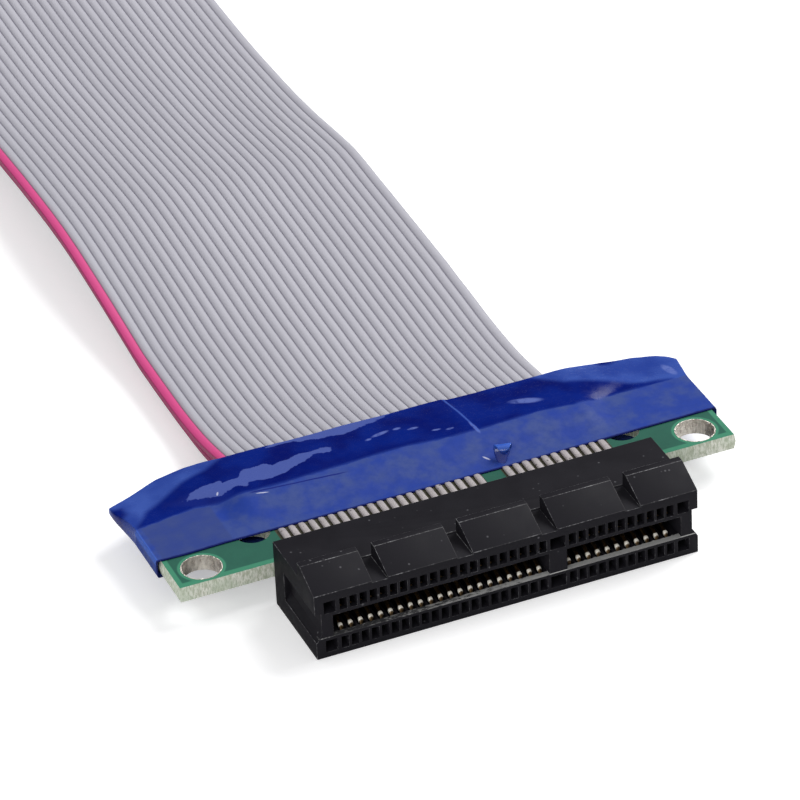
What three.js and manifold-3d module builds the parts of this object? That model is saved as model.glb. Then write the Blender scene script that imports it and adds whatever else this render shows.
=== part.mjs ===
// Ribbon riser cable: a card-edge socket and its board, two stacked flat ribbons, and a
// card-edge plug board. Millimetres, +Z up. The origin is the centre of the socket's
// underside. The slot opens towards -Y and the ribbons leave towards +Y.
import * as THREE from 'three';
import { mergeVertices } from 'three/addons/utils/BufferGeometryUtils.js';
import Module from 'manifold-3d';

const wasm = await Module();
wasm.setup();

// Contact pattern, counted from the left as seen from the slot
const contactPitch = 1.0;
const leftContacts = 21;
const rightContacts = 11;
const keyGap = 3.0; // from the last contact of one group to the first of the other

// Socket housing along X
const slotEndMargin = 1.1; // from the outermost contact to the slot's end
const endWall = 1.75;
const keyRibWidth = 1.8;
const webThickness = 0.25; // wall between two contact chambers
const endWindowWidth = 1.18;
const endWindowOffset = 1.35; // from the outermost contact to the end window's middle
const keyWindowWidth = 1.55;

// Socket housing in Z, from the underside up
const floorWall = 0.58;
const windowHeight = 1.27;
const stripHeight = 0.35; // front strip between a window and the slot
const slotHeight = 2.3;
const roofWall = 0.88;

// Socket housing in Y
const slotDepth = 7.5;
const chamberBehindSlot = 0.5;
const rearWall = 2.0;
const lipThickness = 0.6;
const endWindowDepth = 3.0;

// Channel in each end face of the housing
const channelHeight = 3.1;
const channelRise = 0.1; // its middle above the slot's middle
const channelInset = 0.6;
const channelLength = 7.6;

// Row of wedge blocks on top of the housing's front
const wedgeHeight = 1.42;
const wedgeCrestSetback = 3.2;
const wedgeDepth = 3.95;
const wedgePitch = 8.5;
const wedgeGap = 1.55;
const wedgeGapSink = 0.15; // how far the floor of a gap lies below the housing's top

// Contacts
const contactThickness = 0.2;
const contactSideClearance = 0.175; // to each side wall of its chamber
const passageClearance = 0.05; // round the contact where it passes the rear wall
const tipClearance = 0.2; // from the lip to the contact's free end
const tipOverlap = 0.12; // how far the free end shows above the window's sill
const bulgeSetback = 2.0; // from the free end to the contact point
const contactGap = 0.97; // between the upper and the lower contact points
const beamRise = 0.45; // from the slot's wall to the beam's root
const tailToTape = 0.15; // from a tail's end to the front edge of the socket's tape
const solderGap = 0.03;

// Socket board
const boardThickness = 1.6;
const boardGap = 0.7; // from the housing's rear face to the board's front edge
const boardDepth = 10.4;
const boardSideMargin = 9.25; // past each end of the housing
const scoreRidge = 0.17; // ridge left along the side edges by the panel's score line
const screwHoleDiameter = 3.76;
const screwHoleFromEdge = 2.3; // from the board's front edge
const screwHoleFromSide = 3.2;
const platingWall = 0.1;
const platingClearance = 0.02;
const pegHoleDiameter = 3.4;
const pegHoleInset = 0.25; // from the housing's end, inwards
const pegHoleFromEdge = 5.4;

// Ribbons
const conductorCount = 34;
const conductorPitch = 1.0;
const ribbonThickness = 0.9;
const ribbonCentreX = -0.5;
const ribbonSeatClearance = 0.05;
const ribbonSeatLength = 3.5; // how far each ribbon lies on a board
const ribbonStations = 96;

// Free route of the upper ribbon's middle between its two boards: y and z
const upperRoute = [
  [19.5, 4.42], [23.0, 4.0], [29.0, 3.05], [35.0, 2.75], [41.0, 2.95], [47.0, 3.25], [56.5, 4.05],
  [66.0, 4.7], [71.0, 4.85], [76.0, 4.55], [82.0, 4.05], [88.0, 3.6], [94.0, 3.25], [101.0, 2.95],
  [111.0, 2.95], [120.0, 3.25], [130.0, 3.7], [140.0, 3.85], [150.0, 3.45], [160.0, 2.9],
  [170.0, 2.5], [180.0, 2.4], [190.0, 2.5], [200.0, 2.6], [208.0, 2.75], [213.5, 3.05],
];

// Free route of the lower ribbon's middle
const lowerRoute = [
  [19.5, 2.4], [23.0, 3.0], [29.0, 2.05], [35.0, 1.75], [41.0, 1.95], [47.0, 2.25], [56.5, 3.05],
  [66.0, 3.7], [71.0, 3.85], [76.0, 3.55], [82.0, 3.05], [88.0, 2.6], [94.0, 2.25], [101.0, 1.95],
  [111.0, 1.95], [120.0, 2.25], [130.0, 2.7], [140.0, 2.85], [150.0, 2.45], [160.0, 1.9],
  [170.0, 1.5], [180.0, 1.4], [190.0, 1.5], [200.0, 1.6], [208.0, 1.5], [213.5, 1.1],
];

// Plug board at the far end
const plugStartY = 218.5;
const plugUndersideZ = 1.3;
const plugHalfWidth = 22.3;
const plugBodyDepth = 12.0;
const cardEdgeLength = 8.0;
const cardEdgeClearance = 0.15; // to each end of a slot like the socket's own
const cardKeyClearance = 0.05; // to each side of a key rib like the socket's own
const cardCornerCut = 0.8;
const cardNoseBevel = 0.45;
const fingerLength = 5.6;
const fingerWidth = 0.7;
const fingerSetback = 1.3; // from the card's nose
const fingerHeight = 0.06;

// Tape sleeves
const tapeThickness = 0.15;
const tapeClearance = 0.08;
const tapeFrontCover = 5.65; // how far the socket's tape reaches onto its board
const tapeTailLength = 7.2; // how far it reaches past the board's rear edge
const tapeShoulder = 3.4; // sloping strip beside the ribbons
const tapePinch = 0.3; // gap left between the two sheets beside the ribbons
const tapeTailSteps = 6;
const tapeCornerCut = 1.6;
const tapeRampLength = 0.9; // from the flat front of the tape up to the ribbons' ends
const plugTapeCover = 7.0;
const plugTapeShoulder = 2.0;

// Sizes that follow from those above
const contactSpan = (leftContacts - 1 + rightContacts - 1) * contactPitch + keyGap;
const firstContactX = -contactSpan / 2;
const rightGroupX = firstContactX + (leftContacts - 1) * contactPitch + keyGap;
const keyX = rightGroupX - keyGap / 2;
const slotHalf = contactSpan / 2 + slotEndMargin;
const housingHalf = slotHalf + endWall;
const windowWidth = contactPitch - webThickness;
const contactWidth = windowWidth - 2 * contactSideClearance;
const slotMidZ = floorWall + windowHeight + stripHeight + slotHeight / 2;
const housingHeight = slotMidZ + slotHeight / 2 + stripHeight + windowHeight + roofWall;
const chamberDepth = slotDepth + chamberBehindSlot;
const housingDepth = chamberDepth + rearWall;
const frontY = -housingDepth / 2;
const rearY = housingDepth / 2;
const sillHeight = slotHeight / 2 + stripHeight; // from the slot's middle to a window's inner edge
const windowOuter = sillHeight + windowHeight;
const boardTopZ = slotMidZ + boardThickness / 2;
const boardBottomZ = slotMidZ - boardThickness / 2;
const boardFrontY = rearY + boardGap;
const boardRearY = boardFrontY + boardDepth;
const boardHalf = housingHalf + boardSideMargin;
const tapeFrontY = boardRearY - tapeFrontCover;
const ribbonWidth = conductorCount * conductorPitch;
const ribbonSeatRise = ribbonSeatClearance + ribbonThickness / 2;
const plugTopZ = plugUndersideZ + boardThickness;
const cardHalf = slotHalf - cardEdgeClearance;
const cardNotch = keyRibWidth + 2 * cardKeyClearance;
const plugEndY = plugStartY + plugBodyDepth + cardEdgeLength;
const cutOver = 1.0; // how far a cutting tool runs past the face it opens

const contactXs = [];
for (let i = 0; i < leftContacts; i += 1) contactXs.push(firstContactX + i * contactPitch);
for (let i = 0; i < rightContacts; i += 1) contactXs.push(rightGroupX + i * contactPitch);

// Finishes
const finishes = {
  housing: { color: 0x2b2b2f, roughness: 0.55, metalness: 0.0 },
  board: { color: 0x2c7355, roughness: 0.4, metalness: 0.0 },
  plating: { color: 0xb3ada3, roughness: 0.4, metalness: 0.9 },
  contact: { color: 0xc9a24b, roughness: 0.3, metalness: 1.0 },
  tape: { color: 0x1d3f9a, roughness: 0.25, metalness: 0.0 },
  ribbon: { color: 0xb9b7c0, roughness: 0.6, metalness: 0.0 },
};

const part = new THREE.Group();

function addPiece(name, geometry, finish) {
  const mesh = new THREE.Mesh(geometry, new THREE.MeshStandardMaterial(finishes[finish]));
  mesh.name = name;
  part.add(mesh);
  return mesh;
}

// Solids from outlines

function outline(points) {
  return new THREE.Shape(points.map(([u, v]) => new THREE.Vector2(u, v)));
}

// An outline in y and z, drawn out along X about centreX
function extrudeAlongX(shape, width, centreX) {
  const geometry = new THREE.ExtrudeGeometry(shape, { depth: width, bevelEnabled: false, curveSegments: 16 });
  const toRow = new THREE.Matrix4().makeBasis(
    new THREE.Vector3(0, 1, 0), new THREE.Vector3(0, 0, 1), new THREE.Vector3(1, 0, 0));
  geometry.applyMatrix4(toRow);
  geometry.translate(centreX - width / 2, 0, 0);
  return geometry;
}

// An outline in x and z, drawn out along Y from startY
function extrudeAlongY(shape, length, startY) {
  const geometry = new THREE.ExtrudeGeometry(shape, { depth: length, bevelEnabled: false });
  geometry.rotateX(Math.PI / 2);
  geometry.translate(0, startY + length, 0);
  return geometry;
}

function boxBetween(x0, x1, y0, y1, z0, z1) {
  const geometry = new THREE.BoxGeometry(x1 - x0, y1 - y0, z1 - z0);
  geometry.translate((x0 + x1) / 2, (y0 + y1) / 2, (z0 + z1) / 2);
  return geometry;
}

function uprightCylinder(x, y, radius, z0, z1) {
  const geometry = new THREE.CylinderGeometry(radius, radius, z1 - z0, 32);
  geometry.rotateX(Math.PI / 2);
  geometry.translate(x, y, (z0 + z1) / 2);
  return geometry;
}

// A strip of sheet of one thickness that follows a row of points, as an outline
function stripOutline(points, thickness) {
  const upper = [];
  const lower = [];
  points.forEach((point, i) => {
    const before = points[Math.max(i - 1, 0)];
    const after = points[Math.min(i + 1, points.length - 1)];
    const along = new THREE.Vector2().subVectors(after, before).normalize();
    const across = new THREE.Vector2(-along.y, along.x).multiplyScalar(thickness / 2);
    upper.push(new THREE.Vector2().addVectors(point, across));
    lower.push(new THREE.Vector2().subVectors(point, across));
  });
  return new THREE.Shape([...lower, ...upper.reverse()]);
}

// Joins and cuts

function toSolid(geometry) {
  const bare = geometry.clone();
  bare.deleteAttribute('normal');
  bare.deleteAttribute('uv');
  const merged = mergeVertices(bare, 1e-5);
  return new wasm.Manifold(new wasm.Mesh({
    numProp: 3,
    vertProperties: new Float32Array(merged.attributes.position.array),
    triVerts: new Uint32Array(merged.index.array),
  }));
}

function toGeometry(solid) {
  const { vertProperties, triVerts } = solid.getMesh();
  const geometry = new THREE.BufferGeometry();
  geometry.setAttribute('position', new THREE.BufferAttribute(new Float32Array(vertProperties), 3));
  geometry.setIndex(Array.from(triVerts));
  geometry.computeVertexNormals();
  return geometry;
}

function joined(geometries) {
  return geometries.map(toSolid).reduce((whole, piece) => whole.add(piece));
}

// Contacts: one stamped strip each, from the free end behind the lip, over the contact
// point and back along the chamber to a tail on the board. side is 1 above the slot, -1 below.

function contactOutline(side) {
  const tipY = frontY + lipThickness + tipClearance;
  const bulgeY = tipY + bulgeSetback;
  const bulgeH = contactGap / 2 + contactThickness / 2;
  const beamH = slotHeight / 2 + beamRise;
  const tailH = boardThickness / 2 + solderGap + contactThickness / 2;
  const rootY = frontY + chamberDepth + rearWall / 4;
  const stations = [
    [tipY, sillHeight + tipOverlap],
    [tipY + bulgeSetback * 0.25, slotHeight / 2 - contactThickness / 2],
    [bulgeY - bulgeSetback * 0.25, bulgeH + contactThickness / 4],
    [bulgeY, bulgeH],
    [bulgeY + bulgeSetback * 0.4, bulgeH + beamRise / 2],
    [(bulgeY + rootY) / 2, (bulgeH + beamH) / 2 + beamRise / 3],
    [rootY, beamH],
    [rearY + boardGap / 4, (beamH + tailH) / 2],
    [boardFrontY + boardGap / 4, tailH],
    [tapeFrontY - tailToTape, tailH],
  ];
  return stripOutline(stations.map(([y, h]) => new THREE.Vector2(y, slotMidZ + side * h)), contactThickness);
}

function contactGeometry(side, x) {
  return extrudeAlongX(contactOutline(side), contactWidth, x);
}

// Socket housing: a box with the keyed slot, a chamber and a front window for every
// contact, a channel in each end and wedge blocks on top of the front.

function housingBox() {
  return boxBetween(-housingHalf, housingHalf, frontY, rearY, 0, housingHeight);
}

function slotCuts() {
  const z0 = slotMidZ - slotHeight / 2;
  const z1 = slotMidZ + slotHeight / 2;
  const ribLeft = keyX - keyRibWidth / 2;
  const ribRight = keyX + keyRibWidth / 2;
  return [
    boxBetween(-slotHalf, ribLeft, frontY - cutOver, frontY + slotDepth, z0, z1),
    boxBetween(ribRight, slotHalf, frontY - cutOver, frontY + slotDepth, z0, z1),
  ];
}

// The chamber of one contact, open to the slot and through the window in the lip
function chamberCut(side, x) {
  const inner = slotHeight / 2 - contactThickness;
  const points = [
    [frontY - cutOver, sillHeight],
    [frontY + lipThickness, sillHeight],
    [frontY + lipThickness, inner],
    [frontY + chamberDepth, inner],
    [frontY + chamberDepth, windowOuter],
    [frontY - cutOver, windowOuter],
  ].map(([y, h]) => [y, slotMidZ + side * h]);
  const ordered = side > 0 ? points : points.reverse();
  return extrudeAlongX(outline(ordered), windowWidth, x);
}

// The opening in the rear wall that an upper contact passes through
function passageCut(x) {
  const half = contactWidth / 2 + passageClearance;
  const beamH = slotHeight / 2 + beamRise;
  const tailH = boardThickness / 2 + solderGap + contactThickness / 2;
  const margin = contactThickness;
  return boxBetween(x - half, x + half, frontY + chamberDepth - rearWall / 20, rearY + cutOver,
    slotMidZ + (beamH + tailH) / 2 - margin, slotMidZ + beamH + margin);
}

function blindWindowCuts() {
  const middles = [
    [-contactSpan / 2 - endWindowOffset, endWindowWidth],
    [keyX, keyWindowWidth],
    [contactSpan / 2 + endWindowOffset, endWindowWidth],
  ];
  return middles.flatMap(([x, width]) => [1, -1].map((side) => {
    const z0 = slotMidZ + Math.min(side * sillHeight, side * windowOuter);
    return boxBetween(x - width / 2, x + width / 2, frontY - cutOver, frontY + endWindowDepth,
      z0, z0 + windowHeight);
  }));
}

function endChannelCuts() {
  const z0 = slotMidZ + channelRise - channelHeight / 2;
  return [-1, 1].map((end) => {
    const inner = end * (housingHalf - channelInset);
    const outer = end * (housingHalf + cutOver);
    return boxBetween(Math.min(inner, outer), Math.max(inner, outer), frontY - cutOver,
      frontY + channelLength, z0, z0 + channelHeight);
  });
}

// The right-hand ends of the gaps between wedge blocks, stepped out from the key
function wedgeGapEnds() {
  const ends = [];
  const first = Math.ceil((-housingHalf + wedgeGap - keyX) / wedgePitch);
  for (let k = first; keyX + k * wedgePitch < housingHalf; k += 1) ends.push(keyX + k * wedgePitch);
  return ends;
}

function wedgeBlocks() {
  const profile = outline([
    [frontY, housingHeight - wedgeGapSink],
    [frontY + wedgeDepth, housingHeight - wedgeGapSink],
    [frontY + wedgeDepth, housingHeight + wedgeHeight],
    [frontY + wedgeCrestSetback, housingHeight + wedgeHeight],
    [frontY, housingHeight],
  ]);
  const lefts = [-housingHalf, ...wedgeGapEnds()];
  const rights = [...wedgeGapEnds().map((x) => x - wedgeGap), housingHalf];
  return lefts.map((left, i) => extrudeAlongX(profile, rights[i] - left, (left + rights[i]) / 2));
}

function wedgeGapCuts() {
  return wedgeGapEnds().map((x) => boxBetween(x - wedgeGap, x, frontY - cutOver, frontY + wedgeDepth,
    housingHeight - wedgeGapSink, housingHeight + cutOver));
}

function housingGeometry() {
  const cuts = [
    ...slotCuts(),
    ...contactXs.flatMap((x) => [chamberCut(1, x), chamberCut(-1, x), passageCut(x)]),
    ...blindWindowCuts(),
    ...endChannelCuts(),
    ...wedgeGapCuts(),
  ];
  const lowerContacts = contactXs.map((x) => contactGeometry(-1, x));
  const shell = toSolid(housingBox()).subtract(joined(cuts));
  return toGeometry(shell.add(joined(wedgeBlocks())).add(joined(lowerContacts)));
}

// Boards

// A board's cross-section, with the ridge that a score line leaves along its side edges
function scoredSection(halfWidth, z0, z1) {
  const middle = (z0 + z1) / 2;
  return outline([
    [-halfWidth, z0], [halfWidth, z0], [halfWidth + scoreRidge, middle], [halfWidth, z1],
    [-halfWidth, z1], [-halfWidth - scoreRidge, middle],
  ]);
}

const screwHoleX = boardHalf - screwHoleFromSide;
const screwHoleY = boardFrontY + screwHoleFromEdge;
const platedRadius = screwHoleDiameter / 2 + platingWall + platingClearance;

function socketBoardGeometry() {
  const blank = extrudeAlongY(scoredSection(boardHalf - scoreRidge, boardBottomZ, boardTopZ),
    boardDepth, boardFrontY);
  const z0 = boardBottomZ - cutOver;
  const z1 = boardTopZ + cutOver;
  const pegX = housingHalf - pegHoleInset;
  const pegY = boardFrontY + pegHoleFromEdge;
  const holes = [-1, 1].flatMap((end) => [
    uprightCylinder(end * screwHoleX, screwHoleY, platedRadius, z0, z1),
    uprightCylinder(end * pegX, pegY, pegHoleDiameter / 2, z0, z1),
  ]);
  return toGeometry(toSolid(blank).subtract(joined(holes)));
}

// The plated barrel of one screw hole
function platingGeometry(x) {
  const inner = screwHoleDiameter / 2;
  const outer = inner + platingWall;
  const section = [[inner, 0], [outer, 0], [outer, boardThickness], [inner, boardThickness], [inner, 0]];
  const geometry = new THREE.LatheGeometry(section.map(([r, h]) => new THREE.Vector2(r, h)), 32);
  geometry.rotateX(Math.PI / 2);
  geometry.translate(x, screwHoleY, boardBottomZ);
  return geometry;
}

// The plug board: a body, a narrower keyed card edge with a bevelled nose, and raised
// fingers on both faces, fused to it.
function plugBoardGeometry() {
  const bodyEndY = plugStartY + plugBodyDepth;
  const body = extrudeAlongY(scoredSection(plugHalfWidth - scoreRidge, plugUndersideZ, plugTopZ),
    plugBodyDepth, plugStartY);
  const noseBevelLength = cardNoseBevel * 2;
  const card = extrudeAlongX(outline([
    [bodyEndY - cutOver, plugUndersideZ],
    [plugEndY - noseBevelLength, plugUndersideZ],
    [plugEndY, plugUndersideZ + cardNoseBevel],
    [plugEndY, plugTopZ - cardNoseBevel],
    [plugEndY - noseBevelLength, plugTopZ],
    [bodyEndY - cutOver, plugTopZ],
  ]), 2 * cardHalf, 0);
  const fingers = contactXs.flatMap((x) => [
    boxBetween(x - fingerWidth / 2, x + fingerWidth / 2, plugEndY - fingerSetback - fingerLength,
      plugEndY - fingerSetback, plugUndersideZ - fingerHeight, plugTopZ + fingerHeight),
  ]);
  const notch = boxBetween(keyX - cardNotch / 2, keyX + cardNotch / 2, bodyEndY, plugEndY + cutOver,
    plugUndersideZ - cutOver, plugTopZ + cutOver);
  const corners = [-1, 1].map((end) => {
    const cut = new THREE.BoxGeometry(2 * cardCornerCut, 2 * cardCornerCut, boardThickness + 2 * cutOver);
    cut.rotateZ(Math.PI / 4);
    const reach = cardCornerCut * (Math.SQRT2 - 0.5);
    cut.translate(end * (cardHalf + reach), plugEndY + reach, (plugUndersideZ + plugTopZ) / 2);
    return cut;
  });
  const whole = joined([body, card, ...fingers]);
  return toGeometry(whole.subtract(joined([notch, ...corners])));
}

// Ribbons: flat strips that lie on a board at each end and follow a free route between

function ribbonLine(side, route) {
  const socketSeatZ = side > 0 ? boardTopZ + ribbonSeatRise : boardBottomZ - ribbonSeatRise;
  const plugSeatZ = side > 0 ? plugTopZ + ribbonSeatRise : plugUndersideZ - ribbonSeatRise;
  const points = [
    [boardRearY - ribbonSeatLength, socketSeatZ],
    [boardRearY, socketSeatZ],
    ...route,
    [plugStartY, plugSeatZ],
    [plugStartY + ribbonSeatLength, plugSeatZ],
  ];
  const curve = new THREE.SplineCurve(points.map(([y, z]) => new THREE.Vector2(y, z)));
  return curve.getSpacedPoints(ribbonStations);
}

function ribbonGeometry(line) {
  return extrudeAlongX(stripOutline(line, ribbonThickness), ribbonWidth, ribbonCentreX);
}

const upperLine = ribbonLine(1, upperRoute);
const lowerLine = ribbonLine(-1, lowerRoute);

// The height of a ribbon's middle where it passes a given y
function heightAt(line, y) {
  const next = line.findIndex((point) => point.x >= y);
  if (next < 0) return line[line.length - 1].y;
  if (next === 0) return line[0].y;
  const a = line[next - 1];
  const b = line[next];
  return a.y + ((b.y - a.y) * (y - a.x)) / (b.x - a.x);
}

// Tape sleeves: a thin belt wound round a board and both ribbons. Each station gives the
// inside of the belt at one y: the sheets beside the ribbons and over them.

function sleeveLoop(station, halfWidth, shoulder, wall) {
  const left = ribbonCentreX - ribbonWidth / 2 - tapeClearance * 2;
  const right = ribbonCentreX + ribbonWidth / 2 + tapeClearance * 2;
  const columns = [
    [-halfWidth - wall, station.y + station.cornerShift, 0],
    [-halfWidth + tapeCornerCut, station.y, 0],
    [left - shoulder, station.y, 0],
    [left, station.y, 1],
    [right, station.y, 1],
    [right + shoulder, station.y, 0],
    [halfWidth - tapeCornerCut, station.y, 0],
    [halfWidth + wall, station.y + station.cornerShift, 0],
  ];
  const blend = (side, middle, t) => side + (middle - side) * t;
  const top = columns.map(([x, y, t]) => (
    new THREE.Vector3(x, y, blend(station.topSide, station.topMiddle, t) + wall)));
  const bottom = columns.map(([x, y, t]) => (
    new THREE.Vector3(x, y, blend(station.bottomSide, station.bottomMiddle, t) - wall)));
  return [...top, ...bottom.reverse()];
}

function sleeveGeometry(stations, halfWidth, shoulder) {
  const positions = [];
  const indices = [];
  stations.forEach((station) => {
    [tapeThickness, 0].forEach((wall) => {
      sleeveLoop(station, halfWidth, shoulder, wall).forEach((p) => positions.push(p.x, p.y, p.z));
    });
  });
  const count = sleeveLoop(stations[0], halfWidth, shoulder, 0).length;
  const outer = (k, i) => 2 * k * count + (i % count);
  const inner = (k, i) => (2 * k + 1) * count + (i % count);
  const quad = (a, b, c, d) => indices.push(a, b, c, a, c, d);
  const last = stations.length - 1;
  for (let i = 0; i < count; i += 1) {
    for (let k = 0; k < last; k += 1) {
      quad(outer(k, i), outer(k, i + 1), outer(k + 1, i + 1), outer(k + 1, i));
      quad(inner(k, i), inner(k + 1, i), inner(k + 1, i + 1), inner(k, i + 1));
    }
    quad(outer(0, i), inner(0, i), inner(0, i + 1), outer(0, i + 1));
    quad(outer(last, i), outer(last, i + 1), inner(last, i + 1), inner(last, i));
  }
  const geometry = new THREE.BufferGeometry();
  geometry.setAttribute('position', new THREE.Float32BufferAttribute(positions, 3));
  geometry.setIndex(indices);
  geometry.computeVertexNormals();
  return geometry;
}

// The inside of a belt where it lies flat on the board alone
function flatStation(y, bottomZ, topZ) {
  return {
    y, cornerShift: 0, topSide: topZ + tapeClearance, topMiddle: topZ + tapeClearance,
    bottomSide: bottomZ - tapeClearance, bottomMiddle: bottomZ - tapeClearance,
  };
}

// The inside of a belt where it also covers both ribbons
function coveredStation(y, bottomZ, topZ) {
  return {
    ...flatStation(y, bottomZ, topZ),
    topMiddle: heightAt(upperLine, y) + ribbonThickness / 2 + tapeClearance,
    bottomMiddle: heightAt(lowerLine, y) - ribbonThickness / 2 - tapeClearance,
  };
}

// The open end of a belt behind its board, with the two sheets pressed together beside
// the ribbons
function pinchedStation(y, cornerShift) {
  const middle = (heightAt(upperLine, y) + heightAt(lowerLine, y)) / 2;
  return {
    ...coveredStation(y, 0, 0), cornerShift,
    topSide: middle + tapePinch / 2, bottomSide: middle - tapePinch / 2,
  };
}

// The belt from a board's edge at edgeY to its open end at endY, its sheets closing
// together beside the ribbons
function tailStations(edgeY, endY, bottomZ, topZ) {
  const edge = coveredStation(edgeY, bottomZ, topZ);
  const stations = [];
  for (let i = 0; i <= tapeTailSteps; i += 1) {
    const t = i / tapeTailSteps;
    const y = edgeY + (endY - edgeY) * t;
    const open = pinchedStation(y, (-Math.sign(endY - edgeY)) * tapeCornerCut * t ** 4);
    stations.push({
      ...open,
      topSide: edge.topSide + (open.topSide - edge.topSide) * t,
      bottomSide: edge.bottomSide + (open.bottomSide - edge.bottomSide) * t,
    });
  }
  return stations;
}

function socketTapeGeometry() {
  const seatY = boardRearY - ribbonSeatLength;
  return sleeveGeometry([
    flatStation(tapeFrontY, boardBottomZ, boardTopZ),
    flatStation(seatY - tapeRampLength, boardBottomZ, boardTopZ),
    coveredStation(seatY - tapeClearance * 2, boardBottomZ, boardTopZ),
    ...tailStations(boardRearY + tapeClearance, boardRearY + tapeTailLength, boardBottomZ, boardTopZ),
  ], boardHalf + tapeClearance, tapeShoulder);
}

function plugTapeGeometry() {
  const endY = plugStartY + plugTapeCover;
  const seatY = plugStartY + ribbonSeatLength;
  return sleeveGeometry([
    ...tailStations(plugStartY - tapeClearance, plugStartY - tapeTailLength, plugUndersideZ, plugTopZ)
      .reverse(),
    coveredStation(seatY + tapeClearance * 2, plugUndersideZ, plugTopZ),
    flatStation(seatY + tapeRampLength, plugUndersideZ, plugTopZ),
    flatStation(endY, plugUndersideZ, plugTopZ),
  ], plugHalfWidth + tapeClearance, plugTapeShoulder);
}

// The whole part

addPiece('socket_housing', housingGeometry(), 'housing');
addPiece('socket_board', socketBoardGeometry(), 'board');
addPiece('screw_hole_plating_left', platingGeometry(-screwHoleX), 'plating');
addPiece('screw_hole_plating_right', platingGeometry(screwHoleX), 'plating');
[...contactXs].reverse().forEach((x, i) => {
  addPiece(`upper_contact_${String(i + 1).padStart(2, '0')}`, contactGeometry(1, x), 'contact');
});
addPiece('socket_tape', socketTapeGeometry(), 'tape');
addPiece('ribbon_upper', ribbonGeometry(upperLine), 'ribbon');
addPiece('ribbon_lower', ribbonGeometry(lowerLine), 'ribbon');
addPiece('plug_board', plugBoardGeometry(), 'board');
addPiece('plug_tape', plugTapeGeometry(), 'tape');

export default part;
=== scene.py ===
# %% [markdown]
# # A ribbon riser cable
# A card-edge socket sits on a small green board. Two flat grey ribbons are soldered to that
# board, one on each face, and a belt of blue tape covers the joints. At the far end the ribbons
# meet a plug board. Every length below is in millimetres until the last moment, and MM turns it
# into Blender's metres.

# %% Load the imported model
import math
import bmesh
import bpy
from mathutils import Matrix, Vector, noise


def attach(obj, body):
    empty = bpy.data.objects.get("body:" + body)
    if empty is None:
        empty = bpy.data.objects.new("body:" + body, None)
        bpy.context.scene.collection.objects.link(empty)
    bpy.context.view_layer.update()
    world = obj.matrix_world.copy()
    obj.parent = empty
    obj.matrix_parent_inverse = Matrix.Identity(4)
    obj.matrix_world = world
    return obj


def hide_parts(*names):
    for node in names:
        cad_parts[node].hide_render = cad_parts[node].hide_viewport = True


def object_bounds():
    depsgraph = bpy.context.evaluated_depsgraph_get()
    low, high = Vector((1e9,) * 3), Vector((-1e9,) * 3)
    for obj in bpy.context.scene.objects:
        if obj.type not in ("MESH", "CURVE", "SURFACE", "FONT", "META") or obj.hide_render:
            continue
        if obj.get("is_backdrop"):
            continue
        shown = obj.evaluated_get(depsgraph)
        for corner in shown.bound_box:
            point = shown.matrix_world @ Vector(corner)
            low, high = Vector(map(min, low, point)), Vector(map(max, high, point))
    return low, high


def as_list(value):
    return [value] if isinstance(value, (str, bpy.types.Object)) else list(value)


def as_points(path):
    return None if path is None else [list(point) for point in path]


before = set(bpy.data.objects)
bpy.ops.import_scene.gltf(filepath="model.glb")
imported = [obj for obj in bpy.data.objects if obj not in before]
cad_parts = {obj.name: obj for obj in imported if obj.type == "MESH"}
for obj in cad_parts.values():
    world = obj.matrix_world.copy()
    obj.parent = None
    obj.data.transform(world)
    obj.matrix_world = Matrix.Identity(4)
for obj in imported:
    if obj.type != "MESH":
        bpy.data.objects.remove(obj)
cad_low, cad_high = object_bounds()
scene = bpy.context.scene
scene.view_settings.view_transform = "Standard"
MM = 0.001

# %% [markdown]
# The camera stands where the photographer's stood. Its place and turn were solved from the
# contact pitch, the board's corners and the screw holes, so the picture's right and down
# directions are known vectors, and the third follows from them by a cross product.

# %% Camera
picture_right = Vector((0.91834, -0.39353, -0.04228))
picture_down = Vector((-0.24782, -0.48843, -0.83667))
picture_forward = picture_right.cross(picture_down)
camera_data = bpy.data.cameras.new("camera")
camera_data.sensor_width = 36.0
camera_data.lens = 226.8
camera_data.clip_start = 0.01
camera = bpy.data.objects.new("camera", camera_data)
scene.collection.objects.link(camera)
turn = Matrix((picture_right, -picture_down, -picture_forward)).transposed()
camera_place = Vector((-148.82, -355.47, 271.41)) * MM
camera.matrix_world = Matrix.Translation(camera_place) @ turn.to_4x4()
scene.camera = camera

# %% [markdown]
# Most pieces are lofts: a closed ring of points is repeated along the piece and neighbouring
# rings are joined by quads. One helper does that, caps the ends where it is asked to, and turns
# every face outwards.

# %% Mesh helpers
def new_object(name, data):
    made = bpy.data.objects.new(name, data)
    scene.collection.objects.link(made)
    return made


def loft(name, rings, capped=True):
    """A tube through rings of the same number of points, given in millimetres."""
    count = len(rings[0])
    verts = [Vector(p) * MM for ring in rings for p in ring]
    faces = []
    for r in range(len(rings) - 1):
        for i in range(count):
            j = (i + 1) % count
            faces.append((r * count + i, r * count + j, (r + 1) * count + j, (r + 1) * count + i))
    if capped:
        last = (len(rings) - 1) * count
        faces.append(tuple(reversed(range(count))))
        faces.append(tuple(range(last, last + count)))
    mesh = bpy.data.meshes.new(name)
    mesh.from_pydata(verts, [], faces)
    turn_outwards(mesh)
    return new_object(name, mesh)


def turn_outwards(mesh):
    work = bmesh.new()
    work.from_mesh(mesh)
    bmesh.ops.recalc_face_normals(work, faces=work.faces)
    work.to_mesh(mesh)
    work.free()


def smooth(mesh, degrees):
    mesh.polygons.foreach_set("use_smooth", [True] * len(mesh.polygons))
    mesh.set_sharp_from_angle(angle=math.radians(degrees))


def prism(name, outline, x0, x1):
    """An outline in y and z, drawn out along X."""
    return loft(name, [[(x, y, z) for y, z in outline] for x in (x0, x1)])


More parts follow.
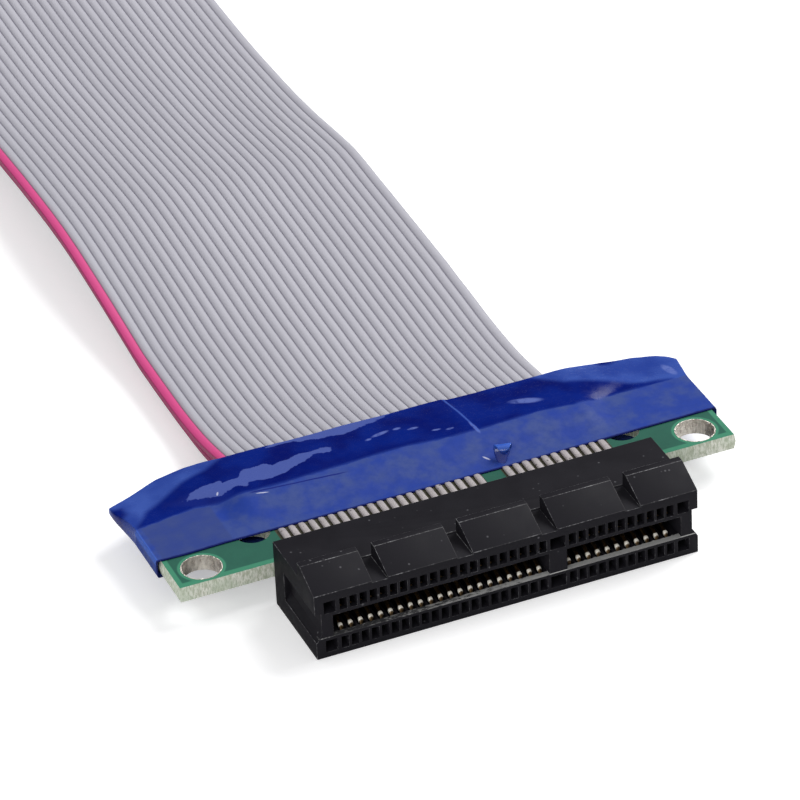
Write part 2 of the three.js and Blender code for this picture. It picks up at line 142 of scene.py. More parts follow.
def box(name, x0, x1, y0, y1, z0, z1):
    return prism(name, [(y0, z0), (y1, z0), (y1, z1), (y0, z1)], x0, x1)


def merged(name, objects):
    """One object with the meshes of several, which are removed."""
    work = bmesh.new()
    for each in objects:
        work.from_mesh(each.data)
    mesh = bpy.data.meshes.new(name)
    work.to_mesh(mesh)
    work.free()
    for each in objects:
        bpy.data.objects.remove(each)
    return new_object(name, mesh)


def settle(piece):
    """Turn a piece's modifiers into plain mesh."""
    shape = piece.evaluated_get(bpy.context.evaluated_depsgraph_get())
    mesh = bpy.data.meshes.new_from_object(shape)
    piece.modifiers.clear()
    piece.data = mesh
    return piece


def heading(points, i):
    """The direction of a line of points at one of them."""
    return (points[min(i + 1, len(points) - 1)] - points[max(i - 1, 0)]).normalized()


def blend(low, high, value):
    """A smooth step from 0 at low to 1 at high."""
    t = min(max((value - low) / (high - low), 0.0), 1.0)
    return t * t * (3 - 2 * t)


def between(table, at):
    """The value of a table of (place, value) pairs at a place, with straight runs."""
    if at <= table[0][0]:
        return table[0][1]
    for (a, low), (b, high) in zip(table, table[1:]):
        if at <= b:
            return low + (high - low) * (at - a) / (b - a)
    return table[-1][1]


# %% [markdown]
# A flat ribbon is a row of round insulated wires that were fused side by side, so its section is
# a row of shallow lobes with a sharp groove between each two. It could be a plane with a striped
# bump map, but the grooves catch real shadow in the photograph, so the lobes are modelled. The
# route is the one the CAD model uses: a Catmull-Rom curve, which passes through all its points.

# %% Ribbon routes
ribbon_centre_x = -0.5
conductors = 34
ribbon_thickness = 0.9
seat_upper_z = 4.65
seat_lower_z = 2.05
plug_seat_upper_z = 3.4
plug_seat_lower_z = 0.8
board_rear_y = 16.1
plug_start_y = 218.5
seat_length = 3.5
plug_seat_end = plug_start_y + seat_length

upper_route = [
    (19.5, 4.42), (23, 4), (29, 3.05), (35, 2.75), (41, 2.95), (47, 3.25), (56.5, 4.05),
    (66, 4.7), (71, 4.85), (76, 4.55), (82, 4.05), (88, 3.6), (94, 3.25), (101, 2.95),
    (111, 2.95), (120, 3.25), (130, 3.7), (140, 3.85), (150, 3.45), (160, 2.9),
    (170, 2.5), (180, 2.4), (190, 2.5), (200, 2.6), (208, 2.75), (213.5, 3.05),
]
# The lower ribbon lies 1 mm below the upper one, apart from its two ends
lower_route = [(y, z - 1.0) for y, z in upper_route]
lower_route[0], lower_route[-2:] = (19.5, 2.4), [(208.0, 1.5), (213.5, 1.1)]
# How much higher the left edge lies than the right one: the ribbon isn't quite level
edge_tilt = [
    (16, 0), (23, 0.1), (29, -0.4), (35, -0.9), (41, -1.3), (47, -1.55), (57, -0.6),
    (65, 0), (71, 0.1), (76, 0.6), (82, 1.2), (88, 1.35), (100, 0.9), (115, 0.3),
    (130, 0),
]


def smooth_curve(points, steps):
    """Points along a Catmull-Rom curve, a given number between each two."""
    line = []
    for i in range(len(points) - 1):
        a, b = Vector(points[max(i - 1, 0)]), Vector(points[i])
        c, d = Vector(points[i + 1]), Vector(points[min(i + 2, len(points) - 1)])
        for s in range(steps):
            t = s / steps
            lead, trail = (c - a) / 2, (d - b) / 2
            line.append((2 * b - 2 * c + lead + trail) * t ** 3
                        + (3 * c - 3 * b - 2 * lead - trail) * t ** 2 + lead * t + b)
    return [*line, Vector(points[-1])]


def even_steps(line, count):
    """The same line with its points a constant distance apart."""
    runs = [0.0]
    for a, b in zip(line, line[1:]):
        runs.append(runs[-1] + (b - a).length)
    placed, k = [], 0
    for i in range(count + 1):
        goal = runs[-1] * i / count
        while k < len(runs) - 2 and runs[k + 1] < goal:
            k += 1
        placed.append(line[k].lerp(line[k + 1], (goal - runs[k]) / (runs[k + 1] - runs[k])))
    return placed, runs[-1]


def ribbon_line(route, socket_z, plug_z):
    points = [(board_rear_y - seat_length, socket_z), (board_rear_y, socket_z), *route,
              (plug_start_y, plug_z), (plug_seat_end, plug_z)]
    return even_steps(smooth_curve(points, 24), 176)


upper_line, upper_length = ribbon_line(upper_route, seat_upper_z, plug_seat_upper_z)
lower_line, lower_length = ribbon_line(lower_route, seat_lower_z, plug_seat_lower_z)
print("ribbon lengths in mm:", round(upper_length, 1), round(lower_length, 1))

# %% Ribbon meshes
lobe_steps = 5
groove_depth = 0.23


def lobe_heights():
    """Half-thickness of the ribbon at each step across one conductor."""
    radius = (groove_depth ** 2 + 0.25) / (2 * groove_depth)
    return [ribbon_thickness / 2 - radius + math.sqrt(radius ** 2 - (i / lobe_steps - 0.5) ** 2)
            for i in range(lobe_steps)]


def ribbon(name, line, shift, board_side):
    """shift moves the free stretch sideways, as the two ribbons never lie quite in register.
    board_side is -1 where the board lies below: the soldered end is pressed flat against it."""
    heights = lobe_heights() * conductors + [ribbon_thickness / 2 - groove_depth]
    columns = len(heights)
    xs = [i / lobe_steps - conductors / 2 for i in range(columns)]
    rings = []
    for k, at in enumerate(line):
        along = heading(line, k)
        across = Vector((-along.y, along.x))
        tilt = between(edge_tilt, at.x)
        thin = 0.2 + 0.8 * blend(12.6, 15.8, at.x)
        pressed = board_side * (1 - thin) * ribbon_thickness / 2
        aside = shift * blend(20, 36, at.x) * (1 - blend(190, 214, at.x))
        ring = []
        for side, order in ((1, range(columns)), (-1, reversed(range(columns)))):
            for i in order:
                place = at + across * (heights[i] * side * thin)
                lift = pressed - tilt * xs[i] / conductors
                ring.append((xs[i] + ribbon_centre_x + aside, place.x, place.y + lift))
        rings.append(ring)
    made = loft(name, rings, capped=False)
    close_ribbon_ends(made, columns, len(rings))
    map_ribbon(made, columns, len(rings))
    smooth(made.data, 50)
    return made


def close_ribbon_ends(piece, columns, ring_count):
    """Cap each end with a strip of quads between the upper and the lower side."""
    work = bmesh.new()
    work.from_mesh(piece.data)
    work.verts.ensure_lookup_table()
    for start in (0, (ring_count - 1) * columns * 2):
        for i in range(columns - 1):
            corners = (i, i + 1, 2 * columns - 2 - i, 2 * columns - 1 - i)
            work.faces.new([work.verts[start + c] for c in corners])
    bmesh.ops.recalc_face_normals(work, faces=work.faces)
    work.to_mesh(piece.data)
    work.free()


def map_ribbon(piece, columns, ring_count):
    """A UV map that counts conductors across and millimetres along."""
    layer = piece.data.uv_layers.new(name="conductors")
    for loop in piece.data.loops:
        ring, spot = divmod(loop.vertex_index, 2 * columns)
        column = spot if spot < columns else 2 * columns - 1 - spot
        layer.data[loop.index].uv = (column / lobe_steps, ring / (ring_count - 1) * upper_length)


ribbon_upper_piece = ribbon("upper_ribbon", upper_line, 0.0, -1)
ribbon_lower_piece = ribbon("lower_ribbon", lower_line, 0.4, 1)

# %% [markdown]
# Node trees are written out by hand, so a small class keeps them readable. A signal is an output
# of some node. Sums such as a * b and the methods below add the nodes they need, and return a
# new signal.

# %% Node helpers
def add(tree, kind, inputs=None, **settings):
    """A new node. Its settings come first, since its sockets can depend on them."""
    node = tree.nodes.new(kind)
    for name, value in settings.items():
        setattr(node, name, value)
    return fill(node, inputs or {})


def fill(node, inputs):
    """Link the inputs that are given as signals, and set the others."""
    for name, value in inputs.items():
        if isinstance(value, Signal):
            value.tree.links.new(value.socket, node.inputs[name])
        else:
            node.inputs[name].default_value = value
    return node


def signal(tree, kind, inputs=None, output=0, **settings):
    return Signal(tree, add(tree, kind, inputs, **settings).outputs[output])


class Signal:
    def __init__(self, tree, socket):
        self.tree, self.socket = tree, socket

    def maths(self, operation, *others):
        inputs = dict(enumerate((self, *others)))
        return signal(self.tree, "ShaderNodeMath", inputs, operation=operation)

    def __add__(self, other):
        return self.maths("ADD", other)

    def __sub__(self, other):
        return self.maths("SUBTRACT", other)

    def __mul__(self, other):
        return self.maths("MULTIPLY", other)

    def __abs__(self):
        return self.maths("ABSOLUTE")

    def shifted(self, noise_value, amount):
        """This value with noise around its middle added."""
        return self + (noise_value - 0.5) * amount

    def ramp(self, low, high, out_low=0.0, out_high=1.0):
        """A smooth step of this value into a new range."""
        inputs = {0: self, 1: low, 2: high, 3: out_low, 4: out_high}
        return signal(self.tree, "ShaderNodeMapRange", inputs, interpolation_type="SMOOTHSTEP")

    def mix(self, first, second):
        """The first colour where this is 0, and the second where it is 1. A colour is a signal,
        or three numbers from 0 to 255 as a picture program shows them."""
        inputs = {0: self, 6: linear_light(first), 7: linear_light(second)}
        return signal(self.tree, "ShaderNodeMix", inputs, 2, data_type="RGBA")

    def parts(self):
        """The three components of this vector."""
        node = add(self.tree, "ShaderNodeSeparateXYZ", {0: self})
        return [Signal(self.tree, socket) for socket in node.outputs]

    def millimetres(self):
        return [part * (1 / MM) for part in self.parts()]

    def cloud(self, size, detail=3.0, rough=0.55):
        """Noise at this place, with features of about this size in millimetres."""
        return signal(self.tree, "ShaderNodeTexNoise", {
            "Vector": self, "Scale": 1.0 / (size * MM), "Detail": detail, "Roughness": rough})

    def stretched(self, scale, turn=(0, 0, 0)):
        inputs = {"Vector": self, "Scale": scale, "Rotation": turn}
        return signal(self.tree, "ShaderNodeMapping", inputs)

    def bumped(self, strength, depth):
        """A normal from this height, with the bump's depth in millimetres."""
        inputs = {"Height": self, "Strength": strength, "Distance": depth * MM}
        return signal(self.tree, "ShaderNodeBump", inputs)


def linear_light(colour):
    if isinstance(colour, Signal) or len(colour) == 4:
        return colour
    shares = [value / 255 for value in colour]
    return (*[s / 12.92 if s <= 0.04045 else ((s + 0.055) / 1.055) ** 2.4 for s in shares], 1.0)


def material(name, metallic=0.0, specular=0.5):
    """A new material, and its Object coordinates as a signal in its tree."""
    made = bpy.data.materials.new(name)
    made.use_nodes = True
    tree = made.node_tree
    fill(tree.nodes["Principled BSDF"], {"Metallic": metallic, "Specular IOR Level": specular})
    return made, signal(tree, "ShaderNodeTexCoord", output="Object")


def normal_parts(place):
    return signal(place.tree, "ShaderNodeTexCoord", output="Normal").parts()


def feed(finish, **values):
    """Give a material's shader its colour, roughness, normal and metallic signals or numbers."""
    names = {"color": "Base Color", "roughness": "Roughness", "normal": "Normal",
             "metallic": "Metallic"}
    fill(finish.node_tree.nodes["Principled BSDF"], {names[k]: v for k, v in values.items()})


def dress(piece, *finishes):
    piece.data.materials.clear()
    for each in finishes:
        piece.data.materials.append(each)


# %% [markdown]
# Handled plastic and solder share one small effect: specks, of dust on the one and pits on the
# other. It is a node group, built once, with its own size and amount wherever it is used.

# %% A shared shader group
def mask_group(name, inputs):
    """A new group and its inputs as signals. An input's default is a number, or None where the
    input is a vector. The output is a mask."""
    tree = bpy.data.node_groups.new(name, "ShaderNodeTree")
    for label, default in inputs.items():
        kind = "NodeSocketVector" if default is None else "NodeSocketFloat"
        socket = tree.interface.new_socket(label, in_out="INPUT", socket_type=kind)
        if default is not None:
            socket.default_value = default
    tree.interface.new_socket("Mask", in_out="OUTPUT", socket_type="NodeSocketFloat")
    outputs = tree.nodes.new("NodeGroupInput").outputs
    return tree, {label: Signal(tree, outputs[label]) for label in inputs}


speck_group, given = mask_group("specks", {"Vector": None, "Scale": 1500.0, "Amount": 0.1})
texture = add(speck_group, "ShaderNodeTexVoronoi",
              {"Vector": given["Vector"], "Scale": given["Scale"]}).outputs
cell_colour = Signal(speck_group, texture["Color"])
chance = signal(speck_group, "ShaderNodeSeparateColor", {0: cell_colour})
near = Signal(speck_group, texture["Distance"]).ramp(0.38, 0.12)
add(speck_group, "NodeGroupOutput", {"Mask": chance.maths("LESS_THAN", given["Amount"]) * near})


def specks(place, scale, amount):
    inputs = {"Vector": place, "Scale": scale, "Amount": amount}
    return signal(place.tree, "ShaderNodeGroup", inputs, node_tree=speck_group)


# %% [markdown]
# The ribbon's insulation is satin PVC. Its first wire is dyed pink, so that both ends are plugged
# in the same way round. The UV map counts conductors across, so the part after the decimal point
# says how far a point is from a groove. Near a groove the grey and the pink are darkened: painted
# shade.

# %% Ribbon finish
insulation, place = material("insulation", specular=0.25)
across = signal(place.tree, "ShaderNodeUVMap", uv_map="conductors").parts()[0]
groove = abs(across.maths("FRACT") - 0.5).ramp(0.34, 0.5)
marked_wire = across.maths("FLOOR").maths("COMPARE", 0.0, 0.5)
broad = place.stretched((1, 0.15, 1)).cloud(6.0)
grey = broad.mix((166, 165, 173), (178, 177, 185))
pink = broad.mix((196, 66, 124), (206, 78, 134))
# Painted shade in the grooves: a darker grey, and a darker pink on the marked wire
groove_shade = marked_wire.mix((136, 134, 145), (150, 44, 92))
fine = place.cloud(0.12)
feed(insulation, color=groove.mix(marked_wire.mix(grey, pink), groove_shade),
     roughness=fine.ramp(0.3, 0.7, 0.36, 0.5), normal=fine.bumped(0.15, 0.02))
dress(ribbon_upper_piece, insulation)
dress(ribbon_lower_piece, insulation)

# %% [markdown]
# The socket is a glass-filled plastic moulding. Its outside could be shaped vertex by vertex, but
# a toolmaker thinks of it as a block with cuts: the keyed slot, a chamber and a window for each
# contact, channels in the ends, and gaps in the row of wedges on top. The chambers repeat, so a
# Geometry Nodes tree places one cutter at each contact. The same tree later places the contacts
# and their soldered tails.

# %% Geometry Nodes: one copy at each contact
contact_pitch = 1.0
left_contacts = 21
right_contacts = 11
key_gap = 3.0
first_contact_x = -16.5

tree = contact_row = bpy.data.node_groups.new("contact_row", "GeometryNodeTree")
for label, kind in [("Geometry", "Geometry"), ("First X", "Float"), ("Pitch", "Float"),
                    ("Key gap", "Float"), ("Left count", "Int"), ("Right count", "Int"),
                    ("Size spread", "Float"), ("Seed", "Int"), ("Material", "Material")]:
    tree.interface.new_socket(label, in_out="INPUT", socket_type="NodeSocket" + kind)
tree.interface.new_socket("Geometry", in_out="OUTPUT", socket_type="NodeSocketGeometry")
given = {each.name: Signal(tree, each) for each in tree.nodes.new("NodeGroupInput").outputs}
step = signal(tree, "ShaderNodeCombineXYZ", {0: given["Pitch"]})
second_x = given["First X"] + (given["Left count"] - 1.0) * given["Pitch"] + given["Key gap"]
rows = tree.nodes.new("GeometryNodeJoinGeometry")
for x, count in ((given["First X"], given["Left count"]), (second_x, given["Right count"])):
    start = signal(tree, "ShaderNodeCombineXYZ", {0: x})
    fill(rows, {0: signal(tree, "GeometryNodeMeshLine", {
        "Count": count, "Start Location": start, "Offset": step}, mode="OFFSET")})
low, high = [signal(tree, "ShaderNodeCombineXYZ", {0: width, 1: 1.0, 2: 1.0})
             for width in (given["Size spread"] * -1.0 + 1.0, given["Size spread"] + 1.0)]
size = signal(tree, "FunctionNodeRandomValue", {0: low, 1: high, "Seed": given["Seed"]},
              data_type="FLOAT_VECTOR")
copies = signal(tree, "GeometryNodeInstanceOnPoints", {
    "Points": Signal(tree, rows.outputs[0]), "Instance": given["Geometry"], "Scale": size})
real = signal(tree, "GeometryNodeRealizeInstances", {0: copies})
finished = signal(tree, "GeometryNodeSetMaterial",
                  {"Geometry": real, "Material": given["Material"]})
add(tree, "NodeGroupOutput", {0: finished})


def at_each_contact(piece, finish=None, spread=0.0, seed=1):
    """Repeat a piece that is modelled at x = 0 along the slot."""
    values = {"First X": first_contact_x * MM, "Pitch": contact_pitch * MM, "Key gap": key_gap * MM,
              "Left count": left_contacts, "Right count": right_contacts, "Size spread": spread,
              "Seed": seed, "Material": finish}
    modifier = piece.modifiers.new("row", "NODES")
    modifier.node_group = contact_row
    for item in contact_row.interface.items_tree:
        if item.in_out == "INPUT" and item.name in values and values[item.name] is not None:
            modifier[item.identifier] = values[item.name]
    return settle(piece)


# %% [markdown]
# The block and its cutters. A Boolean modifier takes each set of cutters away. The cutters of one
# set never touch each other, which keeps the result clean.

# %% Socket body
front_y, rear_y = -5.0, 5.0
body_half = 19.35
body_top = 7.0
slot_half = 17.6
slot_low, slot_high = 2.2, 4.5
middle_z = 3.35
sill = 1.5
window_outer = 2.77
chamber_inner, chamber_rear_y, chamber_half = 0.95, 3.0, 0.375
lip = 0.6
key_x = 5.0
key_half = 0.9
slot_rear_y = 2.5
wedge_rise = 1.42
wedge_crest_y, wedge_rear_y = front_y + 3.2, front_y + 3.95
wedge_gap = 1.55
gap_floor_z, gap_rear_y = 6.85, front_y + 3.9
wedge_gap_ends = [-12.0, -3.5, 5.0, 13.5]
end_window_x, end_window = 17.85, 1.18
key_window = 1.55
cut_y, cut_z = front_y - 1, 9.0


def cut(piece, cutters):
    modifier = piece.modifiers.new("cut", "BOOLEAN")
    modifier.operation = "DIFFERENCE"
    modifier.solver = "EXACT"
    modifier.object = cutters
    settle(piece)
    bpy.data.objects.remove(cutters)


def chamber_cutter(side):
    steps = [(cut_y, sill), (front_y + lip, sill), (front_y + lip, chamber_inner),
             (chamber_rear_y, chamber_inner), (chamber_rear_y, window_outer), (cut_y, window_outer)]
    outline = [(y, middle_z + side * h) for y, h in steps]
    return prism("chamber", outline, -chamber_half, chamber_half)


def end_channel_cutter(end):
    """The right-hand channel's lower inner corner slopes outwards, as the left one's does."""
    steps = [(18.75, 4.95), (20.5, 4.95), (20.5, 1.87), (19.25, 1.87), (18.75, 2.7)]
    return loft("channel", [[(end * x, y, z) for x, z in steps] for y in (cut_y, 2.6)])


body = prism("socket_body", [
    (front_y, 0.0), (rear_y, 0.0), (rear_y, body_top), (wedge_rear_y, body_top),
    (wedge_rear_y, body_top + wedge_rise), (wedge_crest_y, body_top + wedge_rise),
    (front_y, body_top),
], -body_half, body_half)
large_cuts = [box("slot", x0, x1, cut_y, slot_rear_y, slot_low, slot_high)
              for x0, x1 in ((-slot_half, key_x - key_half), (key_x + key_half, slot_half))]
large_cuts += [end_channel_cutter(1), end_channel_cutter(-1)]
# The cut goes a little below the top, and comes up to it in a step behind the wedges
gap_outline = [(cut_y, gap_floor_z), (gap_rear_y, gap_floor_z), (gap_rear_y + 0.15, 7.02),
               (gap_rear_y + 0.15, cut_z), (cut_y, cut_z)]
large_cuts += [prism("gap", gap_outline, end - wedge_gap, end) for end in wedge_gap_ends]
for side in (1, -1):
    low, high = sorted((middle_z + side * sill, middle_z + side * window_outer))
    for x, width in ((-end_window_x, end_window), (key_x, key_window), (end_window_x, end_window)):
        large_cuts.append(box("window", x - width / 2, x + width / 2, cut_y, -2.0, low, high))
cut(body, merged("large_cutters", large_cuts))
cut(body, at_each_contact(merged("chambers", [chamber_cutter(1), chamber_cutter(-1)])))

# %% [markdown]
# Moulded edges are never sharp, and on this socket the outer ones are scuffed grey. A Bevel
# modifier follows a weight on each edge: full on the outside, slight round the windows, none deep
# inside. It gives its new faces the second material, which is where the scuffs go. The ledge
# below the slot's mouth is rubbed pale by cards, and is found by its height and depth.

# %% Socket edges
def on(value, target):
    return abs(value / MM - target) < 0.02


def edge_weight(a, b):
    ys, zs = (a.y, b.y), (a.z, b.z)
    outside = (all(on(z, 0) for z in zs) or all(on(y, rear_y) for y in ys)
               or all(on(abs(p.x), body_half) for p in (a, b))
               or all(z / MM > gap_floor_z - 0.05 for z in zs))
    in_gap = all(y / MM > gap_rear_y - 0.1 for y in ys) and any(on(z, gap_floor_z) for z in zs)
    if outside and not in_gap:
        return 1.0
    return 0.35 if all(on(y, front_y) for y in ys) else 0.0


def weigh_edges(piece):
    work = bmesh.new()
    work.from_mesh(piece.data)
    bmesh.ops.remove_doubles(work, verts=work.verts, dist=1e-6)
    bmesh.ops.dissolve_limit(work, angle_limit=math.radians(1), verts=work.verts, edges=work.edges)
    layer = work.edges.layers.float.new("bevel_weight_edge")
    for edge in work.edges:
        if len(edge.link_faces) == 2 and edge.calc_face_angle(0) > math.radians(15):
            edge[layer] = edge_weight(edge.verts[0].co, edge.verts[1].co)
    work.to_mesh(piece.data)
    work.free()


plastic, place = material("socket_plastic", specular=0.08)
x, y, z = place.millimetres()
broad = place.cloud(3.0)
tone = broad.mix((25, 24, 28), (33, 32, 37))
dust = specks(place, 2600.0, 0.03)
tone = (dust * 0.4).mix(tone, (120, 120, 124))
# The ledge below the slot's mouth
ragged = place.stretched((0.3, 1, 1)).cloud(0.22, 4.0, 0.75)
ledge = abs(z - slot_low).ramp(0.06, 0.04)
ledge *= y.shifted(ragged, 0.5).ramp(front_y + lip + 0.08, front_y + lip)
worn = (ragged + x.ramp(-18.0, 10.0, -0.13, 0.16)).ramp(0.4, 0.58)
tone = ledge.mix(tone, worn.mix((58, 58, 60), (170, 170, 168)))
feed(plastic, color=tone, roughness=broad.ramp(0.3, 0.7, 0.5, 0.62),
     normal=place.cloud(0.09, 2.0).bumped(0.35, 0.02))

scuffed, place = material("scuffed_edge", specular=0.25)
fine = place.cloud(0.35, 4.0, 0.7)
worn = (fine * 0.7 + place.cloud(2.5) * 0.5).ramp(0.55, 0.8)
# Edges that face left (towards -x) get more of the pale scuffs than edges that face right
worn *= normal_parts(place)[0].ramp(-0.05, 0.3, 1.0, 0.3)
feed(scuffed, color=worn.mix((34, 33, 37), (136, 136, 138)), roughness=0.5,
     normal=fine.bumped(0.3, 0.03))

weigh_edges(body)
dress(body, plastic, scuffed)
bevel = body.modifiers.new("edges", "BEVEL")
bevel.limit_method = "WEIGHT"
bevel.width = 0.11 * MM
bevel.segments = 2
bevel.material = 1
settle(body)
smooth(body.data, 30)

# %% [markdown]
# Each contact is a stamped strip with a rounded, gold-flashed nose, bent so that its hump presses
# on a card. A loft of small rounded sections along the bent line gives the nose its round end,
# and the tip of the nose is painted near-white as a highlight: the bright dot in the slot.

# %% Contacts
def rounded(flat, upright):
    """The corners of a rectangle with cut corners, of half width and half height 1. The numbers
    say which share of each side stays straight."""
    return [(1, upright), (flat, 1), (-flat, 1), (-1, upright),
            (-1, -upright), (-flat, -1), (flat, -1), (1, -upright)]


def section(place, along, half_width, half_thick):
    """A rounded rectangle of eight points, square to a direction in y and z."""
    across = Vector((-along.y, along.x))
    return [(u * half_width, *(place + across * (v * half_thick))) for u, v in rounded(0.6, 0.45)]


def bent_strip(name, stations, side):
    """Stations are y, height from the slot's middle, half width and half thickness."""
    places = [Vector((y, middle_z + side * h)) for y, h, _, _ in stations]
    made = loft(name, [section(places[i], heading(places, i), half_width, half_thick)
                       for i, (_, _, half_width, half_thick) in enumerate(stations)])
    smooth(made.data, 60)
    return made


contact_stations = [
    (-4.32, 1.56, 0.06, 0.04), (-4.28, 1.51, 0.14, 0.1), (-4.17, 1.37, 0.16, 0.1),
    (-4.05, 1.21, 0.18, 0.13), (-3.95, 1.08, 0.22, 0.18), (-3.83, 0.98, 0.22, 0.19),
    (-3.66, 0.88, 0.18, 0.11), (-3.3, 0.72, 0.16, 0.09),
    *[(y, h, 0.2, 0.1) for y, h in (
        (-2.95, 0.6), (-2.6, 0.53), (-2.3, 0.54), (-1.9, 0.63), (-1.2, 0.86), (-0.2, 1.18),
        (1, 1.45), (2.6, 1.6), (4.4, 1.55), (5.2, 1.3), (5.7, 1), (6.2, 0.93), (9.9, 0.93))],
]
contact_metal, place = material("gold_flashed_spring_and_highlight", metallic=1.0)
y = place.millimetres()[1]
spring = place.cloud(0.6).mix((140, 116, 84), (106, 86, 60))
# The nose's tip is painted near-white, smoother and hardly metallic: a painted highlight
nose_highlight = y.ramp(-3.7, -3.8) * y.ramp(-4.1, -4.0)
feed(contact_metal, color=nose_highlight.mix(spring, (255, 250, 236)),
     roughness=nose_highlight.ramp(0.0, 1.0, 0.34, 0.25), metallic=nose_highlight.ramp(0.0, 1.0, 1.0, 0.1))
upper_contacts = at_each_contact(bent_strip("upper_contacts", contact_stations, 1), contact_metal)
lower_contacts = at_each_contact(bent_strip("lower_contacts", contact_stations, -1), contact_metal)

# %% [markdown]
# Behind the socket each tail lies on a pad of the board under a loaf of solder. The row tree
# varies their widths a little, because no two solder joints are the same.

# %% Soldered tails
solder_stations = [
    (5.75, 0.86, 0.1, 0.03), (5.85, 0.9, 0.26, 0.12), (6.1, 0.94, 0.31, 0.16),
    (7.4, 0.94, 0.32, 0.16), (8.6, 0.94, 0.325, 0.165), (9.6, 0.94, 0.32, 0.16),
    (10.15, 0.93, 0.31, 0.14), (10.38, 0.89, 0.26, 0.08), (10.5, 0.85, 0.1, 0.03),
]
solder, place = material("solder", metallic=0.15)
fine = place.cloud(0.15, 4.0)
tone = place.cloud(0.9).mix((190, 184, 184), (154, 147, 147))
pits = specks(place, 2400.0, 0.16) * 0.8
feed(solder, color=pits.mix(tone, (60, 52, 50)), roughness=fine.ramp(0.3, 0.7, 0.3, 0.5),
     normal=fine.bumped(0.5, 0.05))
upper_tails = at_each_contact(bent_strip("upper_tails", solder_stations, 1), solder, 0.06, 3)
lower_tails = at_each_contact(bent_strip("lower_tails", solder_stations, -1), solder, 0.06, 8)

# %% [markdown]
# The boards are glass-fibre laminate under green solder mask. The mask is darker where a copper
# pour lies under it, and lighter along the edges and round the holes, where the copper stops. The
# sawn side faces show pale bare laminate with rough streaks. All of this is worked out from
# Object coordinates, which are the real places on the board.

# %% Board finishes
def laminate(place):
    """The colour of a sawn side, and its streaks."""
    streaks = place.stretched((1.7, 1.7, 0.55), (0, 0.7, 0)).cloud(0.3, 5.0, 0.7)
    pale = streaks.ramp(0.4, 0.6).mix((184, 190, 168), (236, 237, 226))
    return place.cloud(2.2).ramp(0.35, 0.65, 0.0, 0.4).mix(pale, (180, 198, 172)), streaks


def is_flat_face(place):
    """1 on the upper and lower faces of a board, and 0 on its sides."""
    return abs(normal_parts(place)[2]).maths("GREATER_THAN", 0.7)


screw_hole_x, screw_hole_y = 25.4, 8.0
board_finish, place = material("socket_board_finish", specular=0.22)
x, y, _ = place.millimetres()
across, along = abs(x) - screw_hole_x, y - screw_hole_y
from_hole = (across * across + along * along).maths("SQRT")
pour = abs(x).ramp(28.0, 27.9) * y.ramp(6.3, 6.4) * from_hole.ramp(2.2, 2.35)
mask = pour.mix((64, 132, 104), (42, 90, 76))
mask = place.cloud(1.2).ramp(0.3, 0.7, 0.0, 0.2).mix(mask, (50, 108, 88))
in_row = abs(x).ramp(17.15, 17.05) * y.ramp(10.7, 10.6) * abs(x - key_x).ramp(0.95, 1.05)
mask = in_row.mix(mask, (70, 68, 54))
bare, streaks = laminate(place)
flat = is_flat_face(place)
feed(board_finish, color=flat.mix(bare, mask), roughness=flat.ramp(0.0, 1.0, 0.75, 0.34),
     normal=(streaks * flat.ramp(0.0, 1.0, 1.0, 0.06)).bumped(0.6, 0.12))

plug_middle_z = 2.1
card_y = 230.4
plug_finish, place = material("plug_board_finish", specular=0.22)
x, y, z = place.millimetres()
finger = abs(z - plug_middle_z).maths("GREATER_THAN", 0.83)
mask = y.ramp(card_y, card_y + 0.1).mix((48, 104, 80), (70, 140, 106))
# Copper tracks show through the mask between the fingers and the tape
track = abs(x.maths("FRACT") - 0.5).ramp(0.26, 0.2) * 0.45
mask = track.mix(mask, (92, 160, 122))
mask = place.cloud(1.2).ramp(0.3, 0.7, 0.0, 0.25).mix(mask, (40, 92, 72))
base = is_flat_face(place).mix(laminate(place)[0], mask)
feed(plug_finish, color=finger.mix(base, (232, 196, 120)), metallic=finger * 0.55,
     roughness=finger.ramp(0.0, 1.0, 0.4, 0.22))

plated, place = material("tinned_barrel", metallic=0.9)
rough = place.stretched((1, 1, 0.6)).cloud(0.5, 5.0, 0.65)
feed(plated, color=rough.ramp(0.35, 0.65).mix((190, 182, 172), (238, 232, 222)),
     roughness=rough.ramp(0.3, 0.7, 0.24, 0.46), normal=rough.bumped(0.9, 0.2))

plug_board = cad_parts["plug_board"]
dress(plug_board, plug_finish)
dress(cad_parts["socket_board"], board_finish)
for side in ("left", "right"):
    dress(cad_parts["screw_hole_plating_" + side], plated)

# %% [markdown]
# The tape is a belt of thin glossy film, wound round the board and both ribbons. It lies flat on
# the board, climbs onto the ribbons' cut ends, and behind the board its two sheets are pinched
# together beside the ribbons. Cloth simulation could drape it, but the film is stretched tight,
# so its height is written down directly as a function of x and y, with noise for the wrinkles.

# %% Tape sheets
film = 0.12
glue = 0.02
folded_end = 0.12
# The end of the film's last turn, a line across the sheet that is not quite straight back
seam_x, seam_slope = 7.21, 0.065
board_faces = {1: 4.15, -1: 2.55}
plug_faces = {1: 2.9, -1: 1.3}
ribbon_heights = {1: [(p.x, p.y) for p in upper_line], -1: [(p.x, p.y) for p in lower_line]}


def wrinkle(x, y, size, seed):
    return noise.noise(Vector((x / size, y / size, seed)))


def tent(x, shoulder):
    """1 over the ribbons, falling to 0 beside them."""
    return 1 - blend(17.1, 17.1 + shoulder, abs(x - ribbon_centre_x))


